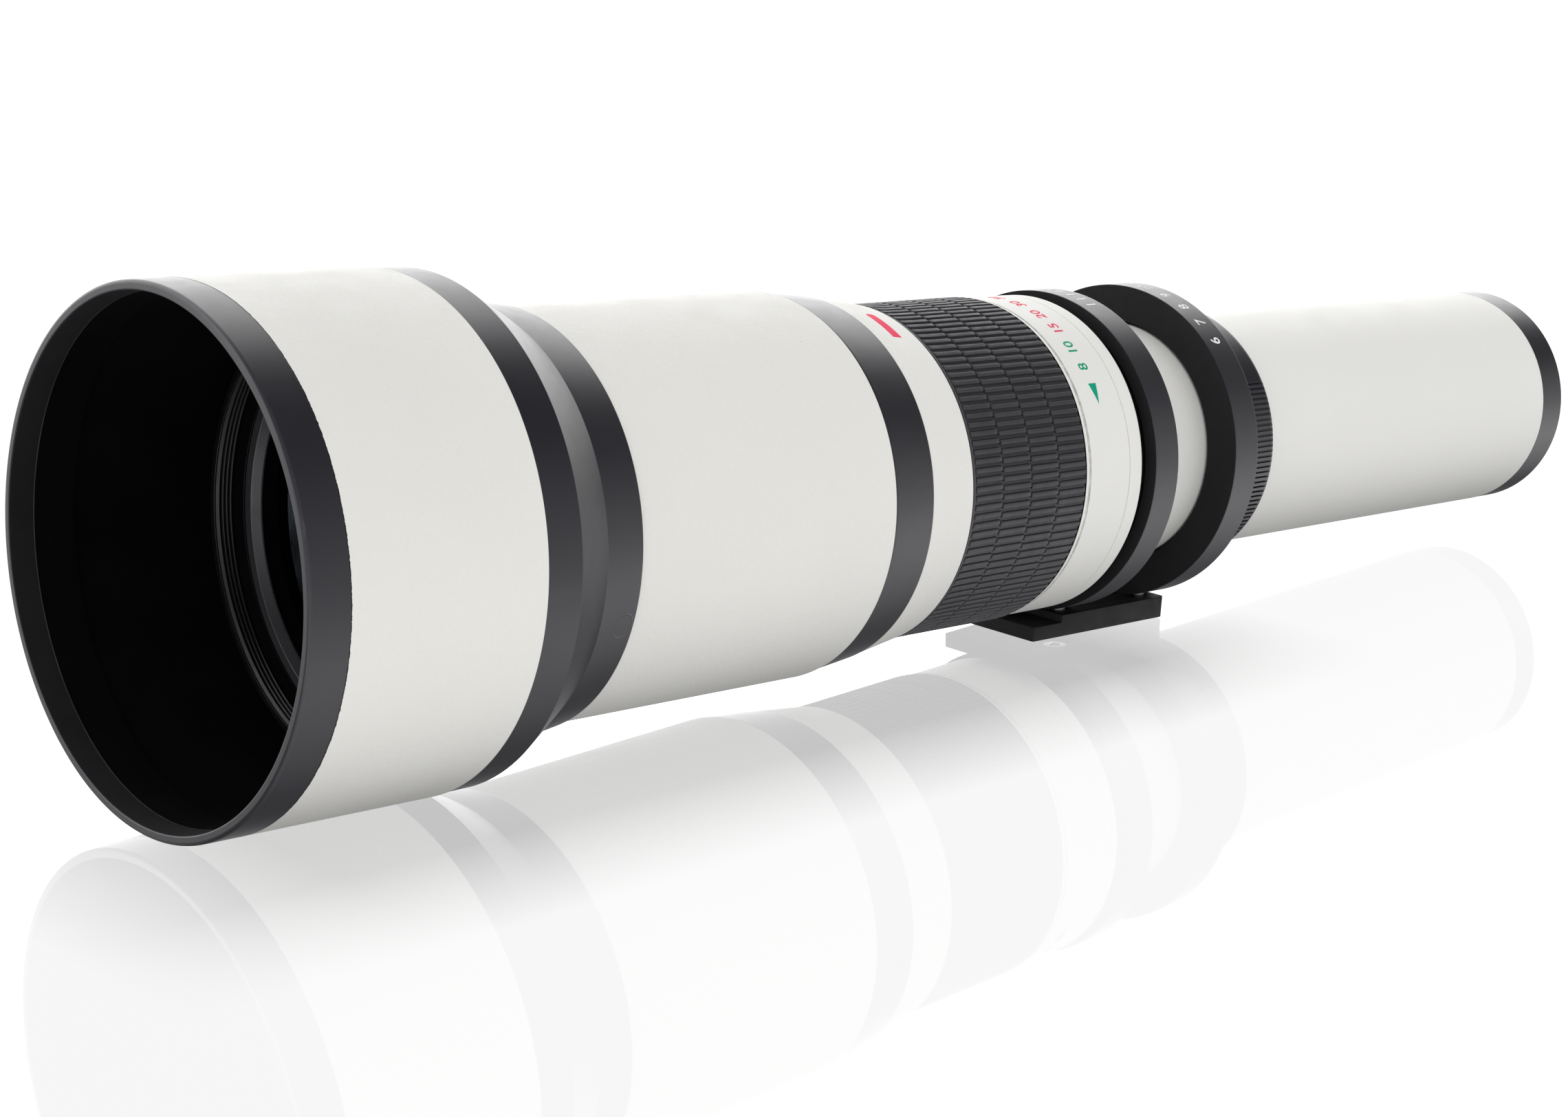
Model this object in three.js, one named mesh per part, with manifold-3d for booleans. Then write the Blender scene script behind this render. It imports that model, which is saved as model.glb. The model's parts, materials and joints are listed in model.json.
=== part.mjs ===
// Long telephoto zoom lens: sliding hood, fixed barrel with focus ring, two-ring tripod cradle and
// push-pull rear tube. Millimetres, +Z up. The optical axis runs along X, with the objective (front)
// at -X and the camera end (rear) at +X. The origin is the middle of the tripod foot's underside.
// Stations are distances along the axis from the seam behind the hood's front ring. Solids are
// drawn about the axis with x as the station. Angles round the axis go from +Y towards +Z.
import * as THREE from "three";
import Module from "manifold-3d";
import { mergeVertices } from "three/addons/utils/BufferGeometryUtils.js";

const manifold = await Module();
manifold.setup();

// ---- driving dimensions ----
const AXIS_Z = 45; // optical axis above the foot's underside
const ORIGIN_STATION = 261;
const FACETS = 24; // round each turned part
const UP = Math.PI / 2; // angle of +Z

const HOOD_R = 54.5;
const BARREL_R = 44.65;
const HOOD_BORE_R = BARREL_R + 0.3;
const CORE_R = 36.8; // fixed inner tube the focus ring turns on
const CORE_SEAT_R = CORE_R + 0.1; // bore of the parts fixed on the core
const CRADLE_R = 40.4; // both cradle rings
const TUBE_R = 30.7; // sliding rear tube
const TUBE_BORE_R = 29.2;
const TUBE_INSERT_R = TUBE_BORE_R - 0.1; // parts fitted inside the rear tube
const BUSH_BORE_R = TUBE_R + 0.3;
const COLLET_BORE_R = TUBE_R + 0.35;
const FILTER_R = 47.5; // 95 mm filter thread
const T_THREAD_R = 20.9; // M42 x 0.75 male thread

const FOCUS_THROW = Math.PI; // ring turn, infinity to near
const FOCUS_TRAVEL = 12; // inner group's travel over that turn
const KEY_STATION = 202; // drive key from focus ring to cam sleeve
const PIN_STATION = 81; // focusing group's cam pin
const GUIDE_ANGLES = [UP, -UP]; // focusing group's guide rods
const GUIDE_CIRCLE_R = 29.6;

// ---- materials ----
const material = (name, settings) =>
  Object.assign(new THREE.MeshStandardMaterial(settings), { name });
const white = material("white_paint", { color: 0xdddcd8, roughness: 0.45, metalness: 0 });
const black = material("black_anodised", { color: 0x2c2c31, roughness: 0.42, metalness: 0.6 });
const matt = material("matt_black", { color: 0x0d0d0f, roughness: 0.8, metalness: 0.2 });
const rubber = material("rubber", { color: 0x242428, roughness: 0.7, metalness: 0 });
const grey = material("dark_grey_metal", { color: 0x4a4a4e, roughness: 0.4, metalness: 0.7 });
const brass = material("brass", { color: 0xb08d4a, roughness: 0.35, metalness: 0.9 });
const steel = material("steel", { color: 0x9a9a9e, roughness: 0.3, metalness: 0.95 });
const felt = material("felt", { color: 0x18181a, roughness: 1, metalness: 0 });
const glass = material("coated_glass", {
  color: 0x5a7a80,
  roughness: 0.03,
  metalness: 0,
  transparent: true,
  opacity: 0.35,
});

// ---- geometry to solid and back ----
function manifoldOf(positions, triangles) {
  return new manifold.Manifold(
    new manifold.Mesh({
      numProp: 3,
      vertProperties: new Float32Array(positions),
      triVerts: new Uint32Array(triangles),
    }),
  );
}

// Welds a closed geometry into a solid, turning it right side out if need be.
function solidOf(geometry) {
  geometry.deleteAttribute("normal");
  geometry.deleteAttribute("uv");
  const welded = mergeVertices(geometry, 1e-4);
  const positions = welded.attributes.position.array;
  const index = welded.index.array;
  const triangles = [];
  const flipped = [];
  for (let i = 0; i < index.length; i += 3) {
    const [a, b, c] = index.subarray ? index.subarray(i, i + 3) : index.slice(i, i + 3);
    if (a === b || b === c || a === c) continue; // collapsed by the weld
    triangles.push(a, b, c);
    flipped.push(a, c, b);
  }
  const solid = manifoldOf(positions, triangles);
  return solid.volume() > 0 ? solid : manifoldOf(positions, flipped);
}

function geometryOf(solid) {
  const mesh = solid.getMesh();
  const geometry = new THREE.BufferGeometry();
  const positions = new Float32Array(mesh.vertProperties);
  geometry.setAttribute("position", new THREE.BufferAttribute(positions, 3));
  geometry.setIndex(new THREE.BufferAttribute(new Uint32Array(mesh.triVerts), 1));
  geometry.computeVertexNormals();
  return geometry;
}

const cut = (solid, cutters) => cutters.reduce((rest, cutter) => rest.subtract(cutter), solid);

// ---- shapes ----
// Turns a profile of [station, radius] points about the optical axis.
function revolve(profile) {
  const points = profile.map(([station, radius]) => new THREE.Vector2(radius, station));
  return solidOf(new THREE.LatheGeometry(points, FACETS).rotateZ(-Math.PI / 2));
}
const turned = (profile) => revolve([...profile, profile[0]]);

const tube = (front, rear, inner, outer) =>
  turned([[front, inner], [front, outer], [rear, outer], [rear, inner]]);

const box = (x0, x1, y0, y1, z0, z1) =>
  solidOf(
    new THREE.BoxGeometry(x1 - x0, y1 - y0, z1 - z0).translate(
      (x0 + x1) / 2,
      (y0 + y1) / 2,
      (z0 + z1) / 2,
    ),
  );

const verticalRod = (x, y, z0, z1, radius, facets = 12) =>
  solidOf(
    new THREE.CylinderGeometry(radius, radius, z1 - z0, facets)
      .rotateX(Math.PI / 2)
      .translate(x, y, (z0 + z1) / 2),
  );

// A rod pointing out from the axis, from radius r0 to r1.
const radialRod = (station, angle, r0, r1, radius, facets = 10) =>
  solidOf(
    new THREE.CylinderGeometry(radius, radius, r1 - r0, facets)
      .translate(0, (r0 + r1) / 2, 0)
      .rotateX(angle)
      .translate(station, 0, 0),
  );

// A rod parallel to the axis, on the guide rods' circle.
const guideRod = (angle, front, rear, radius) =>
  solidOf(
    new THREE.CylinderGeometry(radius, radius, rear - front, 10)
      .rotateZ(Math.PI / 2)
      .translate(
        (front + rear) / 2,
        GUIDE_CIRCLE_R * Math.cos(angle),
        GUIDE_CIRCLE_R * Math.sin(angle),
      ),
  );

// A ring with a lip at each end of its bore; the elements sit in the wider seat between.
const lensCell = (front, rear, bore, outer, seat, lip) =>
  turned([
    [front, bore], [front, outer], [rear, outer], [rear, bore],
    [rear - lip, bore], [rear - lip, seat], [front + lip, seat], [front + lip, bore],
  ]);

// A lens element between two rim stations; positive sags bulge outwards.
function lensElement(front, rear, rim, frontSag, rearSag) {
  const midR = rim * 0.53;
  const midSag = 0.72; // share of the sag at midR
  return revolve([
    [front - frontSag, 0],
    [front - frontSag * midSag, midR],
    [front, rim],
    [rear, rim],
    [rear + rearSag * midSag, midR],
    [rear + rearSag, 0],
  ]);
}

// ---- assembly ----
const lens = new THREE.Group();
lens.name = "telephoto_zoom_lens";

function addGroup(name) {
  const group = new THREE.Group();
  group.name = name;
  lens.add(group);
  return group;
}
const body = addGroup("body_group");
const hood = addGroup("hood_group");
const focusRing = addGroup("focus_ring_group");
const focusGroup = addGroup("focus_group_group");
const zoomTube = addGroup("zoom_tube_group");
const lockRing = addGroup("lock_ring_group");

function addMesh(group, name, surface, geometry, x, y, z) {
  const mesh = new THREE.Mesh(geometry, surface);
  mesh.name = name;
  mesh.position.set(x, y, z);
  group.add(mesh);
}

// Adds a solid drawn in stations, with its mesh origin on the axis at the given station.
function add(group, name, surface, station, solid) {
  const geometry = geometryOf(solid).translate(-station, 0, 0);
  addMesh(group, name, surface, geometry, station - ORIGIN_STATION, 0, AXIS_Z);
}
const addTurned = (group, name, surface, profile) =>
  add(group, name, surface, profile[0][0], turned(profile));
const addTube = (group, name, surface, front, rear, inner, outer) =>
  add(group, name, surface, front, tube(front, rear, inner, outer));
const addElement = (group, name, front, rear, rim, frontSag, rearSag) =>
  add(group, name, glass, front, lensElement(front, rear, rim, frontSag, rearSag));

// ================= hood (slides back over the barrel) =================
const PLUG_STATION = 74;
const PLUG_ANGLE = Math.PI + (16.5 * Math.PI) / 180; // low on the -Y side

function hoodRearCollar() {
  const collar = turned([
    [40, 52.2], [40, 53.1], [45.8, 53.1], [45.8, 54.2], [54.4, 54.1],
    [66.9, 46.9], [77.4, 45.4], [77.4, HOOD_BORE_R], [70, HOOD_BORE_R],
    [70, 46.2], [60, 46.2], [60, HOOD_BORE_R], [57, HOOD_BORE_R], [53, 52.2],
  ]);
  return collar.subtract(radialRod(PLUG_STATION, PLUG_ANGLE, 44, 50, 3.3, 12));
}

addTurned(hood, "hood_front_ring", black, [
  [-9.1, 52.5], [-9.1, 53.9], [-8.5, HOOD_R], [0, HOOD_R],
  [0, 53.1], [6, 53.1], [6, 52.2], [-3.5, 52.2],
]);
addTube(hood, "hood_shell", white, 0.1, 45.7, 53.2, HOOD_R);
add(hood, "hood_rear_collar", black, 40, hoodRearCollar());
addTube(hood, "hood_felt_liner", felt, 60.1, 69.9, HOOD_BORE_R, 46.1);
const stopPlug = radialRod(PLUG_STATION, PLUG_ANGLE, 45, 45.75, 3.1, 12);
add(hood, "hood_stop_plug", black, PLUG_STATION, stopPlug);

// ================= objective =================
const OBJECTIVE_RIM_R = 41.1;
const OBJECTIVE_SEAT_R = 41.4;

addTurned(body, "filter_ring", matt, [
  [36.9, FILTER_R], [36.9, 49.6], [44, 49.6], [46, BARREL_R],
  [46, 44.4], [41.6, 44.4], [41.6, FILTER_R],
]);
addTube(body, "objective_retaining_ring", grey, 42.2, 44.4, 40.8, 44.3);
addTurned(body, "objective_cell", matt, [
  [44.5, OBJECTIVE_SEAT_R], [44.5, 42.4], [64, 42.4],
  [64, 38.2], [60.6, 38.2], [60.6, OBJECTIVE_SEAT_R],
]);
addElement(body, "objective_element_1", 48.2, 51, OBJECTIVE_RIM_R, 3.4, 2.4);
addTube(body, "objective_spacer", matt, 51.6, 54.6, 39.6, OBJECTIVE_RIM_R);
addElement(body, "objective_element_2", 54.7, 60.4, OBJECTIVE_RIM_R, -0.9, 1.2);

// ================= barrel and core =================
// Slot round the core for the drive key's sweep, from the top over the -Y side to the bottom.
function keySweepCutter() {
  const steps = 20;
  const endClearance = 0.14; // radians past each end of the sweep
  const halfWidth = 3;
  const start = UP - endClearance;
  const sweep = FOCUS_THROW + 2 * endClearance;
  const angles = Array.from({ length: steps + 1 }, (_, i) => start + (sweep * i) / steps);
  const arc = (radius) =>
    angles.map((a) => new THREE.Vector2(radius * Math.cos(a), radius * Math.sin(a)));
  const outline = new THREE.Shape([...arc(40), ...arc(32).reverse()]);
  // the outline's x and y become Y and Z, and the extrusion runs along X
  const axes = new THREE.Matrix4().makeBasis(
    new THREE.Vector3(0, 1, 0),
    new THREE.Vector3(0, 0, 1),
    new THREE.Vector3(1, 0, 0),
  );
  return solidOf(
    new THREE.ExtrudeGeometry(outline, { depth: 2 * halfWidth, bevelEnabled: false })
      .applyMatrix4(axes)
      .translate(KEY_STATION - halfWidth, 0, 0),
  );
}

addTube(body, "main_barrel", white, 46.1, 151.4, 42.6, BARREL_R);
addTube(body, "front_bulkhead", matt, 66, 70, CORE_SEAT_R, 42.5);
const core = tube(64.2, 250, 35.2, CORE_R).subtract(keySweepCutter());
add(body, "core_tube", matt, 64.2, core);
addTurned(body, "barrel_rear_band", black, [
  [151.5, CORE_SEAT_R], [151.5, 43.6], [165, 42.9], [165, CORE_SEAT_R],
]);
addTurned(body, "name_ring", white, [
  [165.1, CORE_SEAT_R], [165.1, 42.6], [180.6, 40.4], [180.6, CORE_SEAT_R],
]);
addTube(body, "scale_ring", white, 223.9, 237.2, CORE_SEAT_R, 39.5);
addTube(body, "scale_ring_retainer", white, 237.4, 242.3, CORE_SEAT_R, 39.5);

// ================= tripod cradle =================
const FOOT_HALF_W = 15;
const FOOT_TOP = 5.5;
const CRADLE_REAR = 286.6; // station where the foot and the rear ring end
const SCREW_HOLE_R = 2.1;
const FRONT_SCREWS = { station: 250.4, tipZ: 8.4 };
const REAR_SCREWS = { station: 282, tipZ: 9.3 };
const SCREWS = [FRONT_SCREWS, REAR_SCREWS].flatMap((row) =>
  [9.5, -9.5].map((y) => ({ x: row.station - ORIGIN_STATION, y, tipZ: row.tipZ })),
);

// Cuts the flat where a ring sits on the foot, and its two blind screw holes.
function seatOnFoot(ring, { station, tipZ }) {
  const holes = [9.5, -9.5].map((y) =>
    verticalRod(station, y, -60, tipZ + 0.3 - AXIS_Z, SCREW_HOLE_R),
  );
  return cut(ring, [box(240, 300, -50, 50, -60, FOOT_TOP + 0.1 - AXIS_Z), ...holes]);
}

const rearCradleRing = () =>
  turned([
    [277.5, 31.3], [277.5, CRADLE_R], [CRADLE_REAR, CRADLE_R], [CRADLE_REAR, 33.2],
    [285.2, 33.2], [285.2, 34.2], [280, 34.2], [280, 31.3],
  ]);

// A plate with a thinner front toe, drawn in the lens frame.
function tripodFoot() {
  const slab = (front, rear, top) =>
    box(front - ORIGIN_STATION, rear - ORIGIN_STATION, -FOOT_HALF_W, FOOT_HALF_W, 0, top);
  const plate = slab(246, CRADLE_REAR, FOOT_TOP).add(slab(235.4, 246.5, 3.6));
  const tripodSocket = verticalRod(10, 0, -1, 7, 3.175, 16); // 1/4 inch
  const screwHoles = SCREWS.flatMap(({ x, y }) => [
    verticalRod(x, y, -1, 3.3, 3.6), // counterbore
    verticalRod(x, y, 3, 7, SCREW_HOLE_R),
  ]);
  return cut(plate, [tripodSocket, ...screwHoles]);
}

function footScrew(tipZ) {
  const head = verticalRod(0, 0, 0.4, 3.2, 3.4);
  const shank = verticalRod(0, 0, 3.1, tipZ, 1.95);
  const hexSocket = verticalRod(0, 0, -0.4, 1.6, 1.7, 6);
  return head.add(shank).subtract(hexSocket);
}

const frontCradleRing = tube(246.1, 254.8, CORE_SEAT_R, CRADLE_R);
add(body, "collar_front_ring", black, 246.1, seatOnFoot(frontCradleRing, FRONT_SCREWS));
add(body, "collar_rear_ring", black, 277.5, seatOnFoot(rearCradleRing(), REAR_SCREWS));
addMesh(body, "tripod_foot", black, geometryOf(tripodFoot()), 0, 0, 0);
SCREWS.forEach(({ x, y, tipZ }, i) => {
  addMesh(body, `foot_screw_${i + 1}`, steel, geometryOf(footScrew(tipZ)), x, y, 0);
});

// ================= rear tube guides and lock collet =================
// Split collet that grips the rear tube when the lock ring turns.
function lockCollet() {
  const sleeve = turned([
    [285.3, COLLET_BORE_R], [285.3, 33.1], [286.5, 33.1],
    [286.5, 31.7], [301.2, 31.7], [301.2, COLLET_BORE_R],
  ]);
  const slots = Array.from({ length: 6 }, (_, i) =>
    solidOf(
      new THREE.BoxGeometry(14, 8, 0.8).translate(296, 31, 0).rotateX((i * Math.PI) / 3 + 0.13),
    ),
  );
  return cut(sleeve, slots);
}

addTube(body, "front_guide_bush", felt, 241.4, 249.9, BUSH_BORE_R, 35.1);
addTube(body, "rear_guide_bush", felt, 280.1, 285.1, BUSH_BORE_R, 34.1);
add(body, "lock_collet", brass, 285.3, lockCollet());

// ================= focusing guides =================
// Rods that keep the focusing group from turning, and the plate that holds their front ends.
function guideRodPlate() {
  const plate = turned([
    [64.1, 27.2], [64.1, 35], [64.4, 35], [68.2, 35], [68.2, 27.2],
  ]);
  return cut(plate, GUIDE_ANGLES.map((angle) => guideRod(angle, 63.1, 70.1, 1.3)));
}

GUIDE_ANGLES.forEach((angle, i) => {
  add(body, `focus_guide_rod_${i + 1}`, steel, 64.5, guideRod(angle, 64.5, 101, 1.2));
});
add(body, "guide_rod_plate", matt, 64.1, guideRodPlate());

// ================= focus ring =================
function focusRingSleeve() {
  const sleeve = turned([
    [180.8, 37.3], [180.8, 38.6], [219, 38.6], [219, 40], [223.3, 39.4], [223.3, 37.3],
  ]);
  return sleeve.subtract(radialRod(KEY_STATION, UP, 36, 41, 2.1));
}

// Helical slot that moves the focusing group: overlapping boxes stepped round the cam sleeve,
// from +Y towards -Z and rearwards.
function camSlotCutters() {
  const steps = 15;
  const slotR = 33.7;
  const arcLength = slotR * FOCUS_THROW;
  const tilt = Math.atan2(FOCUS_TRAVEL, arcLength);
  return Array.from({ length: steps }, (_, i) => {
    const share = (i + 0.5) / steps;
    return solidOf(
      new THREE.BoxGeometry(3.4, 5, arcLength / steps + 2.6) // axial, radial, round the sleeve
        .rotateY(-tilt)
        .translate(PIN_STATION + FOCUS_TRAVEL * share, slotR, 0)
        .rotateX(-FOCUS_THROW * share),
    );
  });
}

add(focusRing, "focus_ring_sleeve", white, 180.8, focusRingSleeve());
addTube(focusRing, "rubber_grip", rubber, 180.9, 218.9, 38.75, 40.2);
const driveKey = radialRod(KEY_STATION, UP, 33.3, 38.3, 1.9);
add(focusRing, "focus_drive_key", steel, KEY_STATION, driveKey);
const camSleeve = cut(tube(71, 210, 33, 34.5), [
  radialRod(KEY_STATION, UP, 30, 37, 2),
  ...camSlotCutters(),
]);
add(focusRing, "focus_cam_sleeve", matt, 71, camSleeve);

// ================= focusing group =================
const FOCUS_SEAT_R = 26.6;
const FOCUS_RIM_R = FOCUS_SEAT_R - 0.1;
const focusCell = cut(lensCell(76, 86, 24.6, 32.3, FOCUS_SEAT_R, 1.6), [
  ...GUIDE_ANGLES.map((angle) => guideRod(angle, 75, 87, 1.7)),
  radialRod(PIN_STATION, 0, 30.4, 34, 1.1),
]);
add(focusGroup, "focus_cell", matt, 76, focusCell);
addElement(focusGroup, "focus_element_1", 78.9, 80.6, FOCUS_RIM_R, 1.2, -0.6);
addElement(focusGroup, "focus_element_2", 81.2, 83, FOCUS_RIM_R, -0.7, 1);
const camPin = radialRod(PIN_STATION, 0, 30.5, 34.3, 1);
add(focusGroup, "focus_cam_pin", brass, PIN_STATION, camPin);

// ================= zoom tube =================
const RELAY_SEAT_R = 24.6;
const RELAY_RIM_R = RELAY_SEAT_R - 0.1;
const REAR_SEAT_R = 19.6;
const REAR_RIM_R = REAR_SEAT_R - 0.1;

addTube(zoomTube, "zoom_stop_ring", matt, 236, 240.8, 29.3, 32.4);
addTube(zoomTube, "zoom_tube_shell", white, 240.9, 435.4, TUBE_BORE_R, TUBE_R);
addTurned(zoomTube, "rear_ring", black, [
  [430, 28], [430, TUBE_INSERT_R], [435.5, TUBE_INSERT_R], [435.5, 30.5], [445, 30.5],
  [445.9, 29.6], [445.9, 21.4], [442, 21.4], [442, 28],
]);
addTurned(zoomTube, "t_mount_ring", steel, [
  [439.5, 18.6], [439.5, 27.8], [441.9, 27.8],
  [441.9, T_THREAD_R], [451.4, T_THREAD_R], [451.4, 18.6],
]);
const relayCell = lensCell(244, 258, 22.4, TUBE_INSERT_R, RELAY_SEAT_R, 2);
add(zoomTube, "relay_cell", matt, 244, relayCell);
addElement(zoomTube, "relay_element_1", 247.6, 250.2, RELAY_RIM_R, 1.3, 0.6);
addElement(zoomTube, "relay_element_2", 252.2, 254.6, RELAY_RIM_R, -0.6, 1);
addTube(zoomTube, "light_baffle", matt, 330, 331.5, 21, TUBE_INSERT_R);
const rearCell = lensCell(408, 426, 17, TUBE_INSERT_R, REAR_SEAT_R, 2);
add(zoomTube, "rear_cell", matt, 408, rearCell);
addElement(zoomTube, "rear_element_1", 411.6, 414.2, REAR_RIM_R, -0.5, 1.1);
addElement(zoomTube, "rear_element_2", 417.4, 420.8, REAR_RIM_R, 1.2, 0.9);

// ================= zoom lock ring =================
addTurned(lockRing, "zoom_lock_ring", black, [
  [286.8, 32.15], [286.8, 33.9], [301.2, 33.9], [302, 33.2], [302, 32.15],
]);

export default lens;
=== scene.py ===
# A long white zoom lens: black-rimmed hood, barrel, ribbed focus ring, distance scale,
# two cradle rings on a foot, knurled lock ring and a zoom tube ending in a camera thread.
#
# The optical axis lies along X. The hood's mouth is at the front (-X), the camera thread at the
# back (+X), and Z is up with z = 0 on the foot's underside. Sizes are in millimetres unless a
# comment says metres. A "station" is a place along the axis; angles round the axis run from +Y
# (0) over the top (90 degrees) to -Y (180), the side the camera sees.
import bpy, bmesh, math, json
from mathutils import Matrix, Vector


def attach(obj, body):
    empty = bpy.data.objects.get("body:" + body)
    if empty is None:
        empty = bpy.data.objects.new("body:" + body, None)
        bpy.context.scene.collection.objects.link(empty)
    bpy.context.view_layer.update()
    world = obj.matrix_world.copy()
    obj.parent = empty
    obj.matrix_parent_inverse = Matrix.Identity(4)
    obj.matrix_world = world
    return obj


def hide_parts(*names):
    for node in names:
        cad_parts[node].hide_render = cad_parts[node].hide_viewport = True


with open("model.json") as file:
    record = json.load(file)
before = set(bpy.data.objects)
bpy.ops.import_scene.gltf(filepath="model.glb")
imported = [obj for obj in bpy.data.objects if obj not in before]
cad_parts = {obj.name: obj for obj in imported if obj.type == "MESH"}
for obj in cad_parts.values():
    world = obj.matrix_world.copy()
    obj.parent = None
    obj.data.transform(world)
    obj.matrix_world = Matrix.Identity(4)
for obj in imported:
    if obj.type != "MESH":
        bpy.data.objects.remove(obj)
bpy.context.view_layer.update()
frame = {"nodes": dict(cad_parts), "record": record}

MM = 0.001
TAU = 2 * math.pi
ORIGIN_STATION = 261.0      # the station that lies at x = 0
AXIS = 45.0                 # height of the optical axis

# Driving sizes shared between pieces; pairs are (station, radius)
HOOD_R = 54.5
COLLAR_WIDE = (54.4, 54.1)
COLLAR_NECK = (66.9, 46.9)
COLLAR_END = (77.4, 45.45)
BARREL_R = 44.65
BORE_R = 36.9               # bore of the rear barrel parts and front cradle ring
NAME_FRONT = (166.2, 42.62)
NAME_BACK = (180.62, 40.45)
SCALE_R = 39.5
CRADLE_R = 40.4
TUBE_R = 30.7
FOOT_HALF_LENGTH = 25.6
FOOT_HALF_WIDTH = 15.0
FOOT_TOP = 5.5


def station_x(station):
    return (station - ORIGIN_STATION) * MM


def on_axis(station, angle, radius):
    """A point round the optical axis, in metres."""
    return (station_x(station), radius * math.cos(angle) * MM,
            (AXIS + radius * math.sin(angle)) * MM)


def taper(start, end):
    """Radius as a function of station along a cone through two (station, radius) points."""
    (s0, r0), (s1, r1) = start, end
    return lambda station: r0 + (r1 - r0) * (station - s0) / (s1 - s0)


# ------------------------------------------------------------------ shader building
class Graph:
    """Adds nodes to the emptied shader tree of a material or world."""

    def __init__(self, owner):
        owner.use_nodes = True
        self.tree = owner.node_tree
        self.tree.nodes.clear()

    def add(self, kind, inputs, **settings):
        """A node; an input takes a node, a socket, a number or an RGB colour."""
        node = self.tree.nodes.new("ShaderNode" + kind)
        for key, value in settings.items():
            setattr(node, key, value)
        for key, value in inputs.items():
            if isinstance(value, bpy.types.Node):
                value = value.outputs[0]
            if isinstance(value, bpy.types.NodeSocket):
                self.tree.links.new(value, node.inputs[key])
            elif isinstance(value, tuple):
                node.inputs[key].default_value = (*value, 1.0)
            elif value is not None:
                node.inputs[key].default_value = value
        return node

    def source(self, kind, output):
        return self.add(kind, {}).outputs[output]

    def noise(self, place, scale, detail=3.0, rough=0.55):
        return self.add("TexNoise", {"Scale": scale, "Detail": detail, "Roughness": rough,
                                     "Vector": place})

    def math(self, operation, *values, clamp=False):
        return self.add("Math", dict(enumerate(values)), operation=operation, use_clamp=clamp)

    def remap(self, value, span, to):
        """Maps the range span onto the range to, clamped."""
        return self.add("MapRange", {"Value": value, "From Min": span[0], "From Max": span[1],
                                     "To Min": to[0], "To Max": to[1]}, clamp=True)

    def mix_colour(self, factor, a, b, blend="MIX"):
        node = self.add("Mix", {0: factor, 6: a, 7: b}, data_type="RGBA", blend_type=blend)
        return node.outputs[2]

    def mix_float(self, factor, a, b):
        return self.add("Mix", {0: factor, 2: a, 3: b}, data_type="FLOAT")

    def mix_shader(self, factor, a, b):
        return self.add("MixShader", {0: factor, 1: a, 2: b})

    def bump(self, height, distance, normal=None):
        return self.add("Bump", {"Distance": distance, "Strength": 1.0, "Height": height,
                                 "Normal": normal})

    def specks(self, place, scale, size, share):
        """1 on a few small dots, 0 elsewhere."""
        cells = self.add("TexVoronoi", {"Scale": scale, "Randomness": 1.0, "Vector": place},
                         feature="F1")
        dot = self.math("LESS_THAN", cells.outputs["Distance"], size)
        chance = self.add("SeparateColor", {0: cells.outputs["Color"]})
        return self.math("MULTIPLY", dot, self.math("LESS_THAN", chance, share))


def crackle(g, place, colour, scale, depth):
    """Rounded cells with slightly darker pits; returns the colour and the normal."""
    cells = g.add("TexVoronoi", {"Scale": scale, "Randomness": 1.0, "Vector": place,
                                 "Smoothness": 0.6}, feature="SMOOTH_F1")
    warp = g.noise(place, scale=scale * 0.55, detail=2.0)
    normal = g.bump(g.math("ADD", cells, g.math("MULTIPLY", warp, 0.9)), depth)
    pit = g.remap(cells, span=(0.0, 0.55), to=(0.985, 1.0))
    grey = g.add("CombineColor", {0: pit, 1: pit, 2: pit})
    return g.mix_colour(1.0, colour, grey, blend="MULTIPLY"), normal


def turning_lines(g, place, scale):
    """Noise that varies only with station and radius, so it forms rings round the axis."""
    xyz = g.add("SeparateXYZ", {0: place})
    y_squared = g.math("POWER", xyz.outputs[1], 2.0)
    z_squared = g.math("POWER", g.math("SUBTRACT", xyz.outputs[2], AXIS * MM), 2.0)
    radius = g.math("SQRT", g.math("ADD", y_squared, z_squared))
    flat = g.add("CombineXYZ", {0: xyz.outputs[0], 1: radius})
    return g.noise(flat, scale=scale, detail=2.0)


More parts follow.
